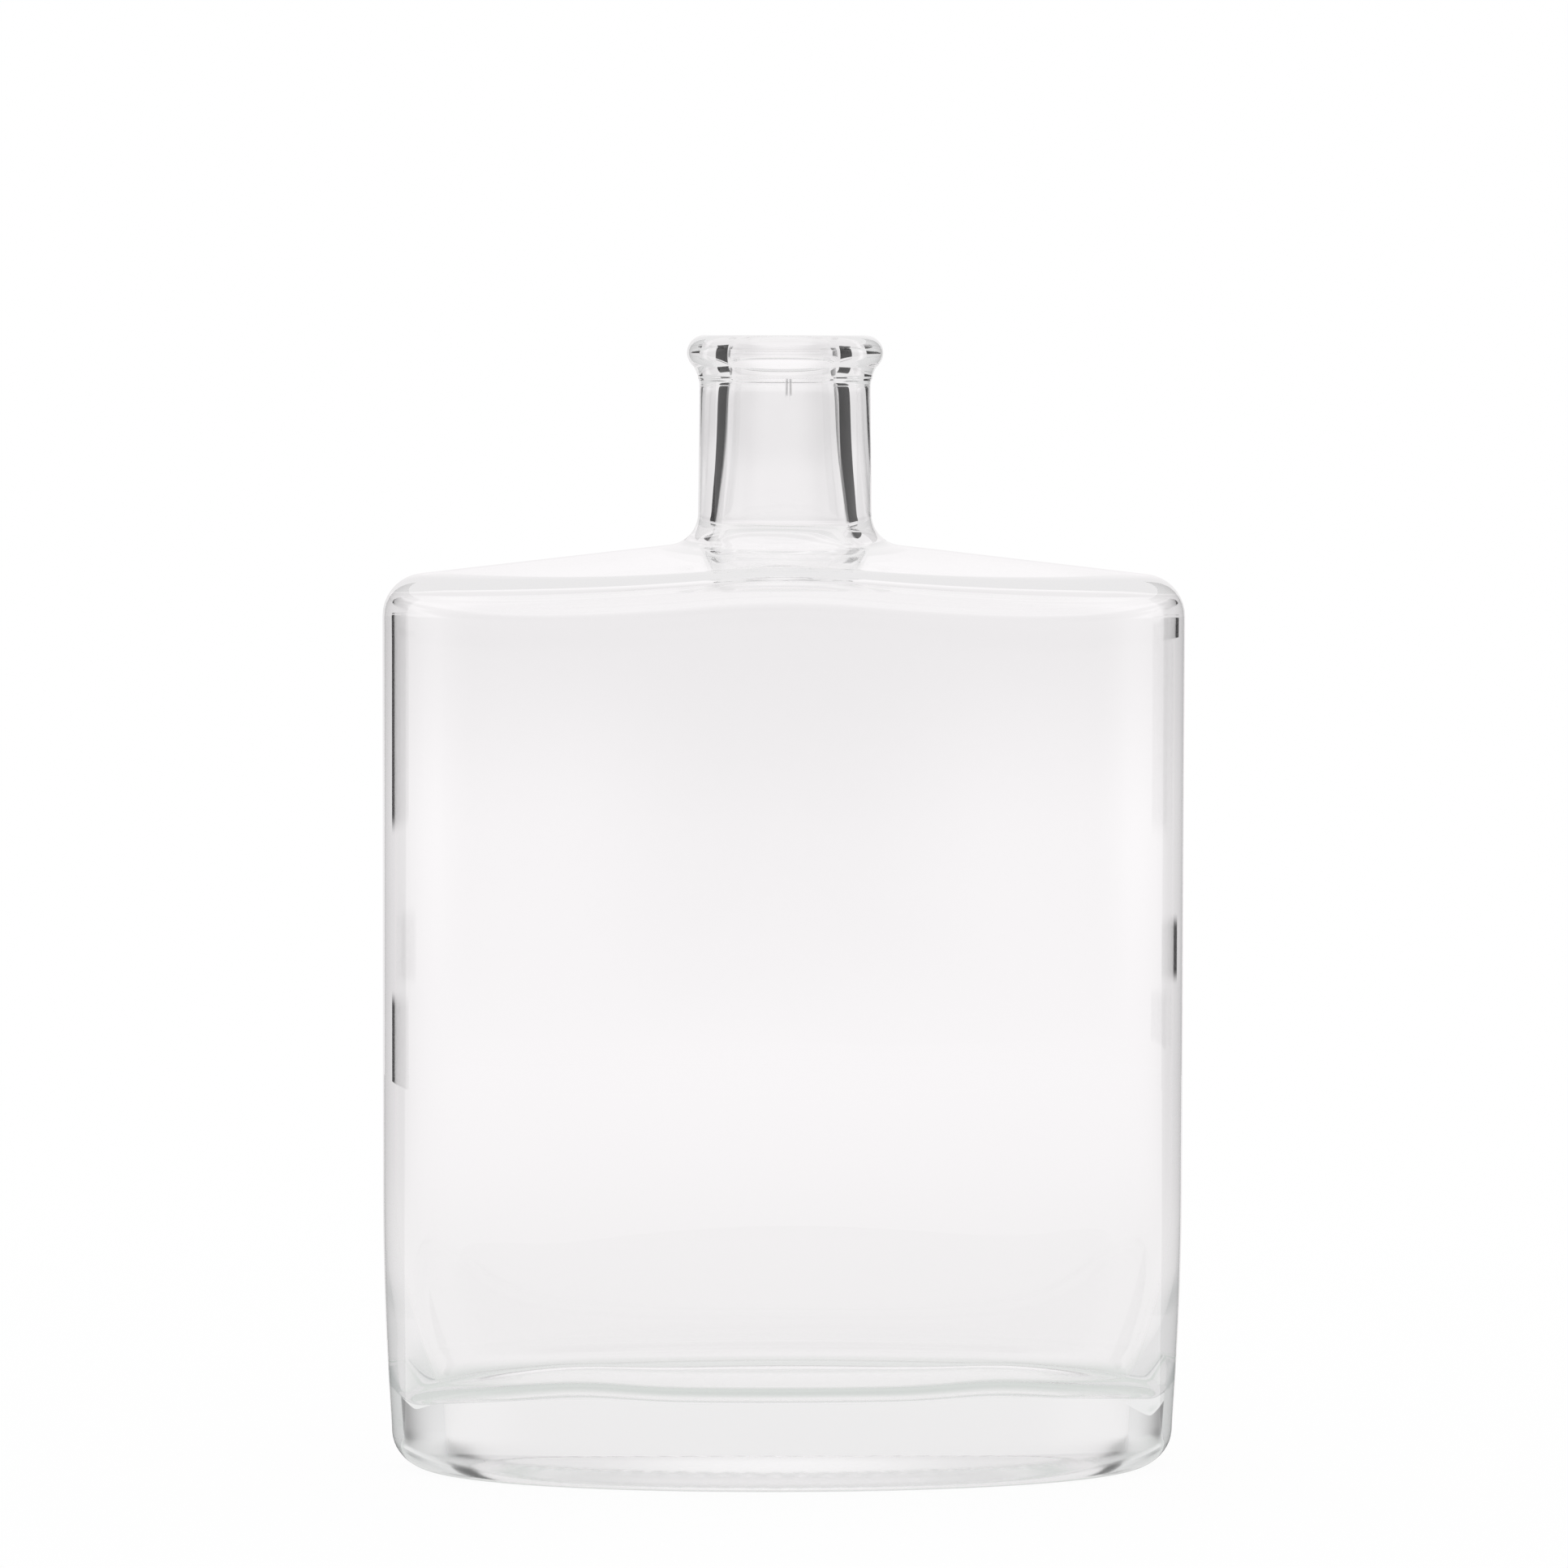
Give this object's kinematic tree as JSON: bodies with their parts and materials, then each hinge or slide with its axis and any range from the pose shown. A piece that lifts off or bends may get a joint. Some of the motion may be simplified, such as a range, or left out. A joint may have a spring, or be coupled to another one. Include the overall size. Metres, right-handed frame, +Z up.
{
  "type": "glass bottle",
  "caption": "Clear glass flask of oval section with a shallow sloped shoulder, a short cork-mouth neck with a rounded lip bead, and a thick base with an oval recess.",
  "frame": {"origin": "middle of the flat ring that the bottle stands on", "axes": "+Z up along the neck, +X along the width of the oval section, +Y along its depth"},
  "size_m": [0.1138, 0.058, 0.161],
  "materials": {
    "clear_glass": "fire-polished clear flint glass"
  },
  "bodies": {
    "root": {"glass_bottle": "clear_glass"}
  },
  "joints": []
}
